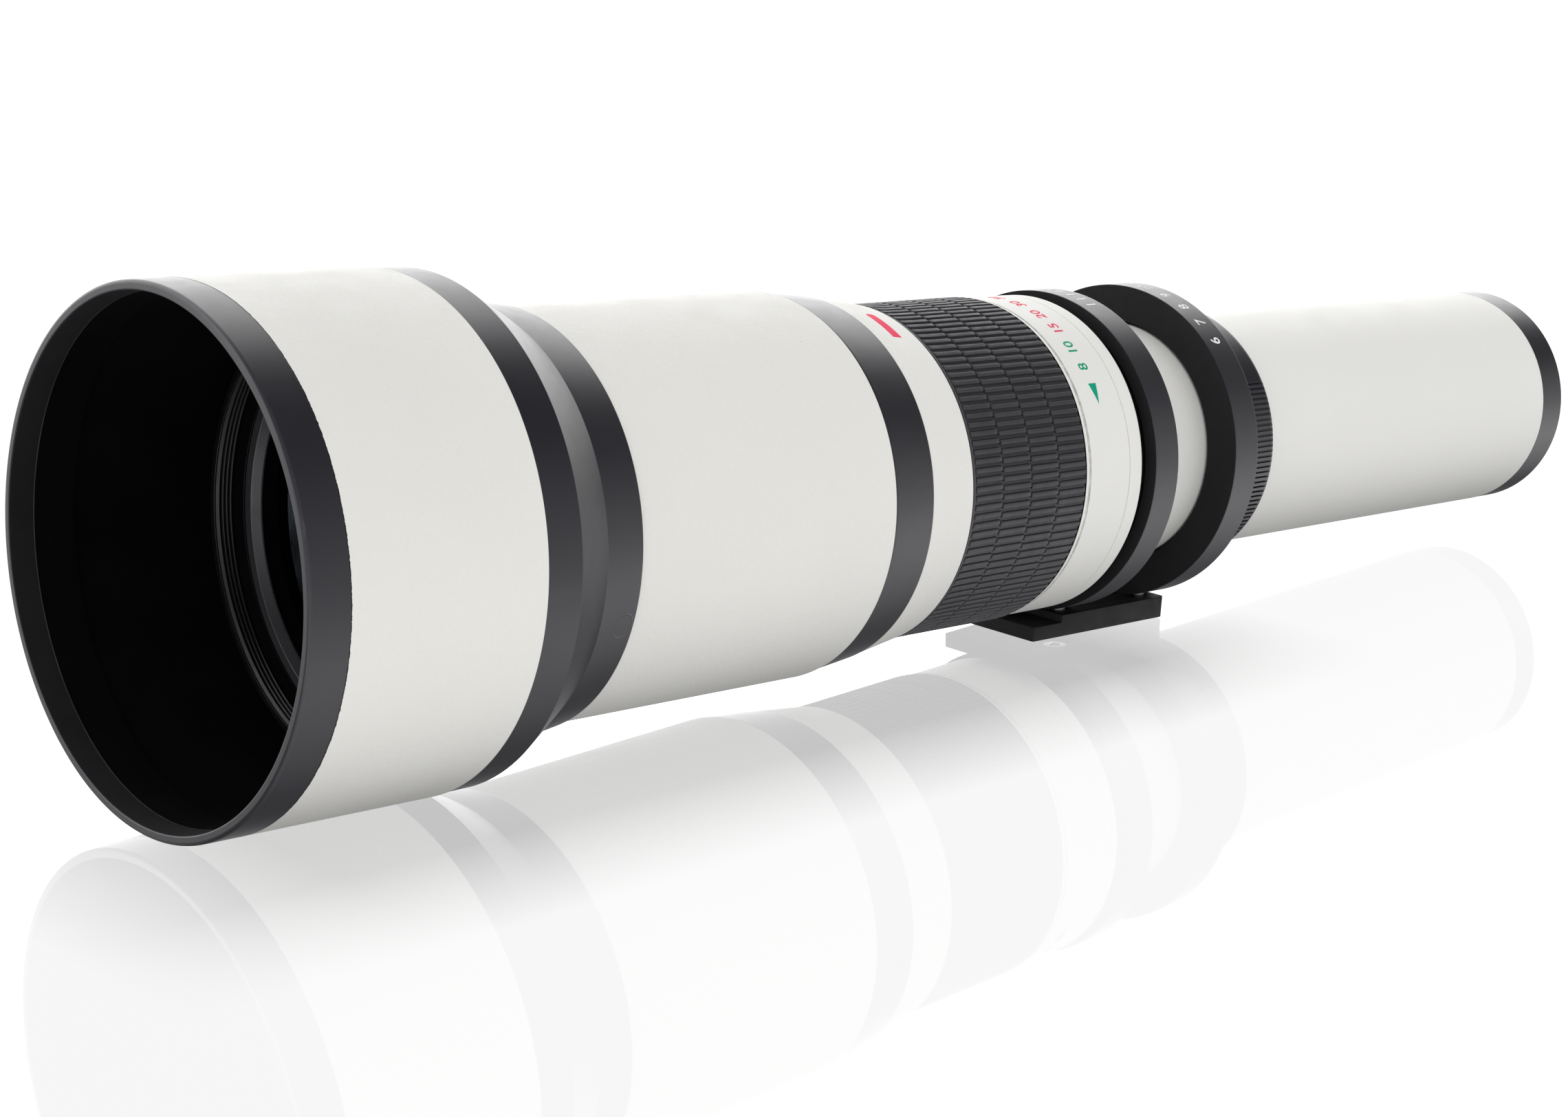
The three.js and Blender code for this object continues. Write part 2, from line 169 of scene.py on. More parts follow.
def finish(name, base, rough, grain, ior=1.45, metallic=0.0, tone=0.06, tone_scale=25.0,
           cells=None, speck=(), rough_var=0.06, sheen=0.0, edge=0.0, streak=None):
    """A surface finish.

    grain, cells and streak are (texture scale, bump height in metres) of the fine grain, the
    crackle and the turning lines. tone is the share by which the colour drifts and rough_var
    the swing in roughness. speck lists (scale, dot size, share of cells with a dot, colour).
    edge is how far convex edges go to a paler colour, a painted highlight along the edges.
    """
    material = bpy.data.materials.new(name)
    g = Graph(material)
    place = g.source("TexCoord", "Object")
    patches = g.remap(g.noise(place, scale=tone_scale, detail=4.0), span=(0.3, 0.7), to=(0, 1))
    colour = g.mix_colour(patches, tuple(c * (1 - tone) for c in base),
                          tuple(c * (1 + tone) for c in base))
    normal = None
    if cells:
        colour, normal = crackle(g, place, colour, *cells)
    grain_scale, grain_height = grain
    normal = g.bump(g.noise(place, scale=grain_scale, detail=2.0, rough=0.6), grain_height, normal)
    for scale, size, share, dot_colour in speck:
        colour = g.mix_colour(g.specks(place, scale, size, share), colour, dot_colour)
    # Painted highlight: convex edges are painted paler, as if they catch the light.
    if edge:
        pointiness = g.source("NewGeometry", "Pointiness")
        painted_edge_highlight = g.remap(pointiness, span=(0.505, 0.56), to=(0.0, edge))
        colour = g.mix_colour(painted_edge_highlight, colour, tuple(c * 3 + 0.05 for c in base))
    roughness = g.remap(g.noise(place, scale=tone_scale * 9, detail=3.0),
                        span=(0.3, 0.7), to=(rough - rough_var, rough + rough_var))
    if streak:
        lines = turning_lines(g, place, streak[0])
        normal = g.bump(lines, streak[1], normal)
        # The lines also swing the roughness by up to 0.06 either way
        swing = g.math("MULTIPLY", g.math("SUBTRACT", lines, 0.5), 0.12)
        roughness = g.math("ADD", roughness, swing)
    surface = g.add("BsdfPrincipled", {
        "Base Color": colour, "Roughness": roughness, "Metallic": metallic, "IOR": ior,
        "Sheen Weight": sheen, "Coat Roughness": 0.25, "Normal": normal})
    g.add("OutputMaterial", {"Surface": surface})
    material.diffuse_color = (*base, 1)
    return material


def coated_glass(name, tint, coating):
    """Tinted clear glass with a faint coloured reflection."""
    material = bpy.data.materials.new(name)
    g = Graph(material)
    place = g.source("TexCoord", "Object")
    facing = g.add("LayerWeight", {"Blend": 0.35}).outputs["Facing"]
    edge_hue = tuple(c * 1.5 + 0.1 for c in coating[::-1])
    hue = g.mix_colour(g.remap(facing, span=(0.1, 0.8), to=(0, 1)), coating, edge_hue)
    # Uneven coating: up to a fifth of a blue-grey
    patches = g.math("MULTIPLY", g.noise(place, scale=30), 0.2)
    hue = g.mix_colour(patches, hue, (0.2, 0.25, 0.3))
    reflection = g.add("BsdfGlossy", {"Roughness": 0.02, "Color": hue})
    # Half the strength of a plain Fresnel reflection
    amount = g.math("MULTIPLY", g.add("Fresnel", {"IOR": 1.38}), 0.5, clamp=True)
    surface = g.mix_shader(amount, g.add("BsdfTransparent", {0: tint}), reflection)
    g.add("OutputMaterial", {"Surface": surface})
    material.diffuse_color = (0.2, 0.3, 0.3, 0.4)
    return material


# ------------------------------------------------------------------ materials
white = finish(
    "white_crackle_enamel", base=(0.785, 0.778, 0.745), rough=0.48, ior=1.18, tone=0.018,
    tone_scale=14, cells=(1150, 0.00006), grain=(4300, 0.000012), rough_var=0.05,
    speck=[(95, 0.035, 0.05, (0.50, 0.50, 0.47)), (230, 0.05, 0.03, (0.62, 0.62, 0.59))])
white_smooth = finish(
    "white_smooth_enamel", base=(0.795, 0.790, 0.762), rough=0.44, ior=1.20, tone=0.015,
    tone_scale=14, cells=(1500, 0.00002), grain=(5200, 0.000008), rough_var=0.04,
    speck=[(90, 0.03, 0.04, (0.55, 0.55, 0.52))])
black = finish(
    "black_blasted_anodise", base=(0.0155, 0.0150, 0.0200), rough=0.31, ior=1.36, tone=0.10,
    tone_scale=30, grain=(9000, 0.000010), rough_var=0.02, edge=0.35,
    speck=[(120, 0.035, 0.05, (0.16, 0.16, 0.17)), (420, 0.06, 0.03, (0.06, 0.06, 0.065))])
ring_black = finish(
    "ring_black_enamel", base=(0.0185, 0.0180, 0.0230), rough=0.36, ior=1.40, tone=0.10,
    tone_scale=30, grain=(7500, 0.000012), rough_var=0.02, edge=0.35,
    speck=[(130, 0.035, 0.05, (0.14, 0.14, 0.15))])
matt = finish(
    "matt_black_flock", base=(0.0042, 0.0042, 0.0046), rough=0.92, ior=1.10, tone=0.25,
    tone_scale=60, grain=(4200, 0.00004), rough_var=0.04,
    speck=[(160, 0.035, 0.02, (0.05, 0.05, 0.05))])
face_black = finish(
    "face_matt_black", base=(0.0165, 0.0162, 0.0178), rough=0.70, ior=1.22, tone=0.2,
    tone_scale=40, grain=(6500, 0.00002), rough_var=0.05,
    speck=[(110, 0.03, 0.05, (0.12, 0.12, 0.12))])
# Painted light and shade: the foot's black comes as two copies, one for its upward faces and one
# for its sides, each toned for how light falls on it.
foot_top_painted_tone = finish(
    "foot_top_face_painted_tone", base=(0.0070, 0.0068, 0.0076), rough=0.60, ior=1.16, tone=0.12,
    tone_scale=40, grain=(5200, 0.00003), edge=0.2, speck=[(170, 0.035, 0.05, (0.12, 0.12, 0.12))])
foot_side_painted_tone = finish(
    "foot_side_face_painted_tone", base=(0.0125, 0.0122, 0.0135), rough=0.60, ior=1.18, tone=0.12,
    tone_scale=40, grain=(5200, 0.00003), edge=0.2, speck=[(170, 0.035, 0.05, (0.12, 0.12, 0.12))])
# Painted light: a lighter copy of the black anodise for the rim's front face, standing in for the
# front light it faces.
rim_face_painted_light = finish(
    "rim_face_anodise_painted_light", base=(0.026, 0.0255, 0.030), rough=0.34, ior=1.42, tone=0.08,
    tone_scale=40, grain=(8000, 0.00001), speck=[(200, 0.04, 0.04, (0.2, 0.2, 0.2))])
# Painted highlight: a paler grey on the thin step at the rim's inner edge, standing in for the
# light that edge catches.
painted_highlight_line = finish(
    "rim_painted_highlight_line", base=(0.075, 0.073, 0.080), rough=0.4, tone=0.3, tone_scale=60,
    grain=(8000, 0.00001))
thread_black = finish(
    "thread_black", base=(0.008, 0.008, 0.009), rough=0.33, ior=1.40, tone=0.15,
    tone_scale=50, grain=(7000, 0.00001))
rubber = finish(
    "ribbed_rubber", base=(0.0400, 0.0385, 0.0440), rough=0.52, ior=1.30, tone=0.12,
    tone_scale=45, grain=(3600, 0.00003), rough_var=0.07, edge=0.10,
    speck=[(260, 0.045, 0.10, (0.10, 0.10, 0.10)), (620, 0.06, 0.05, (0.05, 0.05, 0.05))])
grey_metal = finish(
    "grey_anodise", base=(0.075, 0.075, 0.083), rough=0.34, metallic=0.35, tone=0.08,
    grain=(6500, 0.00001), streak=(2600, 0.000006))
bare = finish(
    "bare_aluminium_line", base=(0.58, 0.58, 0.55), rough=0.6, metallic=0.1, tone=0.25,
    tone_scale=420, grain=(4200, 0.00004))
steel = finish(
    "turned_steel", base=(0.42, 0.42, 0.43), rough=0.3, metallic=1.0,
    streak=(3000, 0.000004), grain=(6000, 0.000003))
brass = finish(
    "turned_brass", base=(0.55, 0.38, 0.14), rough=0.32, metallic=1.0,
    streak=(3000, 0.000004), grain=(6000, 0.000003))
felt = finish(
    "black_felt", base=(0.006, 0.006, 0.006), rough=0.95, ior=1.2, tone=0.3, tone_scale=200,
    grain=(2600, 0.00012), sheen=0.3)
green = finish("green_marking_ink", base=(0.0, 0.33, 0.19), rough=0.55, ior=1.2, tone=0.05,
               grain=(5000, 0.000006))
red = finish("red_marking_ink", base=(0.80, 0.03, 0.10), rough=0.55, ior=1.2, tone=0.05,
             grain=(5000, 0.000006))
white_ink = finish("white_marking_ink", base=(0.86, 0.86, 0.87), rough=0.6, tone=0.05,
                   grain=(5000, 0.000006))
glass = coated_glass("coated_glass", tint=(0.84, 0.88, 0.86), coating=(0.30, 0.34, 0.42))


# ------------------------------------------------------------------ mesh building
ARC_STEPS = 4       # segments in each rounded corner
SUPPORT = 0.09      # distance of the extra point beside each arc
MAX_CUT = 0.42      # most of a side's length that a corner may use


def rounded(profile):
    """Turns profile corners (station, radius, bevel[, material]) into small arcs.

    Returns (station, radius, material); a corner's material covers the side after it.
    """
    corners = [Vector(q[:2]) for q in profile]
    materials = [q[3] if len(q) > 3 else 0 for q in profile]
    points = []
    for i, corner in enumerate(corners):
        to_last = corners[i - 1] - corner
        to_next = corners[(i + 1) % len(corners)] - corner
        last_length, next_length = to_last.length, to_next.length
        to_last.normalize()
        to_next.normalize()
        inside = math.acos(max(-1.0, min(1.0, to_last.dot(to_next))))
        turn = math.pi - inside
        before, after = materials[i - 1], materials[i]
        bevel = profile[i][2]
        if bevel <= 0 or turn < 0.09:
            points.append((corner.x, corner.y, after))
            continue
        cut = min(bevel * math.tan(turn / 2), MAX_CUT * last_length, MAX_CUT * next_length)
        radius = cut / math.tan(turn / 2)
        centre = corner + (to_last + to_next).normalized() * (radius / math.sin(inside / 2))
        if last_length * MAX_CUT > cut + SUPPORT:
            points.append((*(corner + to_last * (cut + SUPPORT)), before))
        arm_in = corner + to_last * cut - centre
        arm_out = corner + to_next * cut - centre
        for j in range(ARC_STEPS + 1):
            point = centre + arm_in.lerp(arm_out, j / ARC_STEPS).normalized() * radius
            points.append((point.x, point.y, before if j < ARC_STEPS / 2 else after))
        if next_length * MAX_CUT > cut + SUPPORT:
            points.append((*(corner + to_next * (cut + SUPPORT)), after))
    return points


def smooth(mesh, sharp):
    """Smooth shading, with edges sharper than the given degrees kept hard."""
    mesh.polygons.foreach_set("use_smooth", [True] * len(mesh.polygons))
    mesh.set_sharp_from_angle(angle=math.radians(sharp))
    mesh.update()


def link_object(name, data):
    obj = bpy.data.objects.new(name, data)
    bpy.context.scene.collection.objects.link(obj)
    return obj


def bmesh_object(name, bm):
    mesh = bpy.data.meshes.new(name)
    bm.to_mesh(mesh)
    bm.free()
    return link_object(name, mesh)


def new_object(name, verts, faces, materials, face_materials=None, sharp=38):
    mesh = bpy.data.meshes.new(name)
    mesh.from_pydata(verts, [], faces)
    for material in materials:
        mesh.materials.append(material)
    if face_materials is not None:
        mesh.polygons.foreach_set("material_index", face_materials)
    mesh.validate()
    bm = bmesh.new()
    bm.from_mesh(mesh)
    bmesh.ops.recalc_face_normals(bm, faces=bm.faces[:])
    if bm.calc_volume(signed=True) < 0:
        bmesh.ops.reverse_faces(bm, faces=bm.faces[:])
    bm.to_mesh(mesh)
    bm.free()
    smooth(mesh, sharp)
    return link_object(name, mesh)


def place(obj, body, slot, node=None):
    """Attaches the object to the body that moves it and hides the node it replaces. The slot is
    not used.
    """
    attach(obj, body)
    if node:
        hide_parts(node)
    return obj


def ring_faces(rings, n, closed=True):
    """Quads between successive rings of n points; closed joins the last ring to the first."""
    faces = []
    for i in range(rings if closed else rings - 1):
        a, b = i * n, ((i + 1) % rings) * n
        for j in range(n):
            k = (j + 1) % n
            faces.append((a + j, a + k, b + k, b + j))
    return faces


def capped_faces(rings, n):
    """An open stack of rings, closed by fans to two centre points that follow the rings."""
    faces = ring_faces(rings, n, closed=False)
    first, last = rings * n, (rings - 1) * n
    for j in range(n):
        k = (j + 1) % n
        faces.append((first, k, j))
        faces.append((first + 1, last + j, last + k))
    return faces


def lathe(name, profile, materials, body, slot, node, n=240):
    """A closed profile turned round the optical axis in n segments."""
    points = rounded(profile)
    verts = [on_axis(s, TAU * j / n, r) for s, r, _ in points for j in range(n)]
    face_materials = [m for _, _, m in points for _ in range(n)]
    obj = new_object(name, verts, ring_faces(len(points), n), materials, face_materials)
    return place(obj, body, slot, node)


def band(s0, s1, inner, outer, bevel=0.1):
    """Profile of a plain ring."""
    return [(s0, inner, bevel), (s0, outer, bevel), (s1, outer, bevel), (s1, inner, bevel)]


def lens(name, s0, s1, radius, front, back, body, node, n=96, steps=8):
    """A lens element; its front and back faces bulge outwards by the given sags."""
    shares = [i / steps for i in range(steps + 1)]
    front_face = [(s0 - front * (1 - q ** 2), radius * q) for q in shares]
    back_face = [(s1 + back * (1 - q ** 2), radius * q) for q in reversed(shares)]
    rings = front_face[1:] + back_face[:-1]
    verts = [on_axis(s, TAU * j / n, r) for s, r in rings for j in range(n)]
    verts += [on_axis(front_face[0][0], 0, 0), on_axis(back_face[-1][0], 0, 0)]
    obj = new_object(name, verts, capped_faces(len(rings), n), [glass], sharp=30)
    place(obj, body, "coated_glass", node)


def thread(s0, s1, base_r, ridge_r, pitch):
    """Profile points of a row of ridges; the pitch is adjusted to fit a whole number."""
    count = round((s1 - s0) / pitch)
    pitch = (s1 - s0) / count
    points = []
    for i in range(count):
        s = s0 + i * pitch
        points += [(s, base_r, 0.0), (s + 0.42 * pitch, ridge_r, 0.0),
                   (s + 0.58 * pitch, ridge_r, 0.0)]
    return points + [(s1, base_r, 0.0)]


# Every profile below lists (station, radius, bevel[, material index]).

# ------------------------------------------------------------------ hood
lathe("hood_front_rim", [
    (-9.1, 52.45, 0.35, 2), (-9.1, HOOD_R, 0.75), (-0.03, HOOD_R, 0.12), (-0.03, 53.1, 0.05),
    (6, 53.1, 0.05, 1), (6, 52.5, 0.05, 1), (-3.3, 52.5, 0.03, 1), (-3.45, 52.17, 0.02, 4),
    (-3.68, 52.17, 0.02, 3)],
    [black, matt, rim_face_painted_light, face_black, painted_highlight_line],
    "hood", "black_anodised", "hood_front_ring", n=320)
lathe("hood_tube", [
    (0.06, 53.2, 0.05), (0.06, HOOD_R, 0.10), (45.72, HOOD_R, 0.16), (45.72, 53.2, 0.05, 1)],
    [white, matt], "hood", "white_paint", "hood_shell", n=320)


def paint_edge():
    """Thin dark line of uneven width at the front end of the hood's paint."""
    n = 1500
    mean_width, jitter = 0.09, 0.12
    chip_width, chip_share = 0.08, 0.04

    def scatter(j, k):
        return math.modf(abs(math.sin(j * 12.9898 + k * 78.233) * 43758.5453))[0]

    width, widths = mean_width, []
    for j in range(n):
        width += (mean_width - width) * 0.5 + jitter * (scatter(j, 1) - 0.5)
        chip = chip_width if scatter(j, 2) < chip_share else 0
        widths.append(max(0.02, min(0.24, width + chip)))
    inner, outer = 54.3, HOOD_R + 0.012
    verts = []
    for at_back, radius in ((False, inner), (False, outer), (True, outer), (True, inner)):
        for j in range(n):
            station = widths[j] + 0.02 if at_back else 0.0
            verts.append(on_axis(station, TAU * j / n, radius))
    obj = new_object("hood_paint_edge", verts, ring_faces(4, n), [thread_black])
    place(obj, "hood", "black_anodised", "hood_front_ring")


paint_edge()
lathe("hood_sliding_collar", [
    (40, 52.3, 0.05, 1), (40, 53.1, 0.05), (45.84, 53.1, 0.04), (45.84, 54.25, 0.14),
    (*COLLAR_WIDE, 0.28), (*COLLAR_NECK, 0.22), (*COLLAR_END, 0.30), (77.4, 45.0, 0.08),
    (70, 45.0, 0.04, 1), (70, 46.3, 0.02, 1), (60, 46.3, 0.02, 1), (60, 45.0, 0.05, 1),
    (57, 45.0, 0.1, 1), (53, 52.3, 0.2, 1)],
    [black, matt], "hood", "black_anodised", "hood_rear_collar", n=320)
lathe("hood_felt_ring", [
    (60.15, 44.95, 0.3), (60.15, 46.25, 0.05), (69.85, 46.25, 0.05), (69.85, 44.95, 0.3)],
    [felt], "hood", "felt", "hood_felt_liner")


def collar_plug():
    """Small round plug on the collar's -Y side, just below the axis, following the cone."""
    station, angle, plug_r, n = 74.0, math.radians(196.5), 3.0, 40
    collar_r = taper(COLLAR_NECK, COLLAR_END)
    bottom, dish = -0.55, -0.02
    # (height above the cone, radius on the plug)
    rings = [(bottom, plug_r), (0.015, plug_r), (0.06, plug_r - 0.12), (0.06, plug_r - 0.5),
             (dish, plug_r - 0.62), (dish, 0.4)]
    verts = []
    for lift, radius in rings:
        for j in range(n):
            turn = TAU * j / n
            s = station + radius * math.cos(turn)
            r = collar_r(s) + lift
            verts.append(on_axis(s, angle + radius * math.sin(turn) / r, r))
    verts += [on_axis(station, angle, collar_r(station) + lift) for lift in (bottom, dish)]
    obj = new_object("hood_plug", verts, capped_faces(len(rings), n), [black])
    place(obj, "hood", "black_anodised", "hood_stop_plug")


collar_plug()

# ------------------------------------------------------------------ barrel
lathe("front_filter_ring", [
    (36.9, 48.0, 0.12), (36.9, 49.6, 0.25), (44, 49.6, 0.2), (46, BARREL_R, 0.2),
    (46, 44.4, 0.02), (41.9, 44.4, 0.1, 1), (41.9, 47.2, 0.1, 1)]
    + thread(37.3, 41.3, base_r=48.0, ridge_r=47.35, pitch=1.0)[::-1],
    [thread_black, matt], "barrel", "matt_black", "filter_ring", n=320)
lathe("front_retaining_ring", [
    (42.2, 42.1, 0.25), (42.2, 44.3, 0.15), (44.4, 44.3, 0.05), (44.4, 40.8, 0.1),
    (44.0, 40.9, 0.1)],
    [grey_metal], "barrel", "grey_metal", "objective_retaining_ring")
lathe("front_cell", [
    (44.5, 41.4, 0.1), (44.5, 42.4, 0.1), (64, 42.4, 0.1), (64, 38.2, 0.1), (60.6, 38.2, 0.1),
    (60.6, 41.4, 0.05)],
    [matt], "barrel", "matt_black", "objective_cell")
lens("front_glass", 48.2, 51.0, radius=41.1, front=3.4, back=2.4,
     body="barrel", node="objective_element_1", n=160, steps=14)
lathe("front_glass_spacer", band(51.65, 54.55, 39.6, 41.1, bevel=0.05),
      [matt], "barrel", "matt_black", "objective_spacer")
lens("second_glass", 54.7, 60.4, radius=41.1, front=-0.9, back=1.2,
     body="barrel", node="objective_element_2", n=160, steps=14)
lathe("barrel_tube", [
    (46.1, 42.6, 0.1), (46.1, BARREL_R, 0.1), (151.36, BARREL_R, 0.18), (151.36, 42.6, 0.05, 1)],
    [white, matt], "barrel", "white_paint", "main_barrel", n=300)
lathe("rear_band", [
    (151.46, BORE_R, 0.05), (151.46, 44.35, 0.10), (152.1, 44.35, 0.12), (165.0, 42.9, 0.14),
    (165.0, BORE_R, 0.05)],
    [black], "barrel", "black_anodised", "barrel_rear_band", n=300)
lathe("front_bulkhead_ring", band(66, 70, BORE_R, 42.5),
      [matt], "barrel", "matt_black", "front_bulkhead")
lathe("name_band", [
    (165.08, BORE_R, 0.05), (165.08, 42.75, 0.14), (*NAME_FRONT, 0.1), (*NAME_BACK, 0.22),
    (NAME_BACK[0], BORE_R, 0.05)],
    [white], "barrel", "white_paint", "name_ring", n=300)

# ------------------------------------------------------------------ focus ring
lathe("focus_sleeve", [
    (180.8, 37.3, 0.05), (180.8, 38.6, 0.05), (220.95, 38.6, 0.02, 1), (220.95, 39.78, 0.03),
    (221.1, 39.82, 0.05), (221.95, 39.68, 0.15), (221.95, 37.3, 0.05)],
    [white_smooth, matt], "focus_ring", "white_paint", "focus_ring_sleeve", n=300)

GRIP_START, GRIP_END = 180.95, 220.9
GRIP_LIP = 1.15         # plain lip at the front of the grip
GRIP_BLOCKS = 4         # rows of ribs along the axis
GRIP_RIBS = 118         # ribs round each row
BLOCK_SHIFT = 0.22      # turn of each row against the one before, in rib pitches
GROOVE_R, RIB_HEIGHT = 39.44, 0.56
GRIP_INNER_R = 38.75
# Places across one rib pitch where points are set
RIB_POINTS = [0.0, 0.03, 0.07, 0.13, 0.30, 0.46, 0.54, 0.575, 0.60, 0.66, 0.80, 0.93]


def rib_height(u):
    """Height across a rib pitch: 1 at the top of the rib, 0 in the groove."""
    if u <= 0.03:
        return 0.70 * u / 0.03
    if u <= 0.13:
        return 0.70 + 0.30 * (u - 0.03) / 0.10
    if u <= 0.54:
        return 1.0 - 0.10 * (u - 0.13) / 0.41
    if u <= 0.60:
        return 0.90 - 0.90 * (u - 0.54) / 0.06
    if u <= 0.66:
        return 0.0
    return 0.30 * (u - 0.66) / 0.34


def grip_stations():
    """(station, block or -1 for the lip, share of the full height) along the grip."""
    lip_end = GRIP_START + GRIP_LIP
    stations = [(GRIP_START, -1, 0.55), (GRIP_START + 0.06, -1, 0.85),
                (GRIP_START + 0.16, -1, 1.0), (lip_end - 0.42, -1, 1.0),
                (lip_end - 0.3, -1, 0.85), (lip_end - 0.22, -1, 0.0)]
    block_length = (GRIP_END - GRIP_START - GRIP_LIP) / GRIP_BLOCKS
    # (distance back from the block's rear end, height)
    between_blocks = [(0.3, 1.0), (0.14, 0.9), (0.05, 0.6), (0.0, 0.0)]
    at_grip_end = [(0.70, 1.0), (0.52, 0.9), (0.42, 0.6), (0.36, 0.05), (0.02, 0.05)]
    for block in range(GRIP_BLOCKS):
        start = lip_end + block * block_length
        end = lip_end + (block + 1) * block_length
        tail = at_grip_end
        if block < GRIP_BLOCKS - 1:
            end -= 0.38     # gap before the next block
            tail = between_blocks
        for offset, height in ((0, 0.0), (0.05, 0.6), (0.14, 0.9), (0.3, 1.0)):
            stations.append((start + offset, block, height))
        for share in (0.15, 0.32, 0.5, 0.68, 0.85):
            stations.append((start + (end - start) * share, block, 1.0))
        stations += [(end - offset, block, height) for offset, height in tail]
    return stations


def rubber_grip():
    stations = grip_stations()
    steps = [(i, u) for i in range(GRIP_RIBS) for u in RIB_POINTS]
    verts = []
    for s, block, height in stations:
        floor_r = GROOVE_R + 0.42 * math.exp(-(s - GRIP_START) / 2.2)   # flares at the front
        for i, u in steps:
            if block < 0:
                r = floor_r + 0.80 * height * RIB_HEIGHT
            else:
                r = floor_r + RIB_HEIGHT * rib_height(u) * height
                if height == 0 and 0.04 < u < 0.58:
                    r -= 0.34       # notch in the gap between blocks
            verts.append(on_axis(s, TAU * (i + u + BLOCK_SHIFT * max(block, 0)) / GRIP_RIBS, r))
    # Inner wall, back then front, turned to match the end it joins
    for s, shift in ((GRIP_END - 0.02, BLOCK_SHIFT * (GRIP_BLOCKS - 1)), (GRIP_START + 0.02, 0)):
        for i, u in steps:
            verts.append(on_axis(s, TAU * (i + u + shift) / GRIP_RIBS, GRIP_INNER_R))
    faces = ring_faces(len(stations) + 2, len(steps))
    obj = new_object("rubber_grip_ribbed", verts, faces, [rubber], sharp=50)
    place(obj, "focus_ring", "rubber", "rubber_grip")


rubber_grip()

# ------------------------------------------------------------------ distance scale
lathe("distance_ring", [
    (222.1, BORE_R, 0.02, 1), (222.1, 39.25, 0.05, 1), (222.95, 39.3, 0.02, 1),
    (222.95, SCALE_R, 0.1), (237.22, SCALE_R, 0.12), (237.22, BORE_R, 0.02)],
    [white_smooth, bare], "barrel", "white_paint", "scale_ring", n=300)
lathe("distance_ring_end", [
    (237.38, BORE_R, 0.02), (237.38, SCALE_R, 0.12), (241.6, 39.42, 0.1), (242.3, 39.0, 0.15),
    (242.3, BORE_R, 0.1)],
    [white_smooth], "barrel", "white_paint", "scale_ring_retainer", n=300)


# ------------------------------------------------------------------ cradle
def cradle_ring(name, profile, node):
    """A ring cut flat just above the foot."""
    obj = lathe(name, profile, [ring_black, face_black], "barrel", "black_anodised", node, n=300)
    bm = bmesh.new()
    bm.from_mesh(obj.data)
    bmesh.ops.bisect_plane(bm, geom=bm.verts[:] + bm.edges[:] + bm.faces[:],
                           plane_co=(0, 0, (FOOT_TOP + 0.05) * MM), plane_no=(0, 0, -1),
                           clear_outer=True)
    bmesh.ops.holes_fill(bm, edges=[e for e in bm.edges if e.is_boundary], sides=0)
    bmesh.ops.recalc_face_normals(bm, faces=bm.faces[:])
    bm.to_mesh(obj.data)
    bm.free()
    smooth(obj.data, sharp=38)


cradle_ring("front_cradle_ring", [
    (246.1, BORE_R, 0.1, 1), (246.1, CRADLE_R, 0.22), (254.8, CRADLE_R, 0.3, 1),
    (254.8, BORE_R, 0.2, 1)], "collar_front_ring")
cradle_ring("rear_cradle_ring", [
    (277.5, 31.3, 0.25, 1), (277.5, CRADLE_R, 0.22), (286.6, CRADLE_R, 0.3),
    (286.6, 33.2, 0.1, 1), (285.2, 33.2, 0.1, 1), (285.2, 34.2, 0.1, 1), (280, 34.2, 0.1, 1),
    (280, 31.3, 0.05, 1)], "collar_rear_ring")

# Foot outline seen from the side (x, z), with a lower step at the front
FOOT_OUTLINE = [(-FOOT_HALF_LENGTH, 0), (FOOT_HALF_LENGTH, 0), (FOOT_HALF_LENGTH, FOOT_TOP),
                (-15.0, FOOT_TOP), (-15.0, 3.6), (-FOOT_HALF_LENGTH, 3.6)]
# (x, y, height of the screw's top)
SCREWS = [(-10.6, 9.5, 8.4), (-10.6, -9.5, 8.4), (21.0, 9.5, 9.3), (21.0, -9.5, 9.3)]


def cutter(x, y, z0, z1, radius):
    """An upright cylinder to cut with."""
    bm = bmesh.new()
    bmesh.ops.create_cone(bm, cap_ends=True, segments=40, radius1=radius * MM,
                          radius2=radius * MM, depth=(z1 - z0) * MM)
    bmesh.ops.translate(bm, verts=bm.verts, vec=(x * MM, y * MM, (z0 + z1) / 2 * MM))
    return bmesh_object("cutter", bm)


def round_foot_corners(bm, x, radius, segments):
    """Rounds the upright edges at one end of the foot."""
    edges = [e for e in bm.edges
             if all(abs(v.co.x - x * MM) < 1e-6 for v in e.verts)
             and abs(e.verts[0].co.y - e.verts[1].co.y) < 1e-6]
    bmesh.ops.bevel(bm, geom=edges, offset=radius * MM, segments=segments, profile=0.5,
                    affect="EDGES")


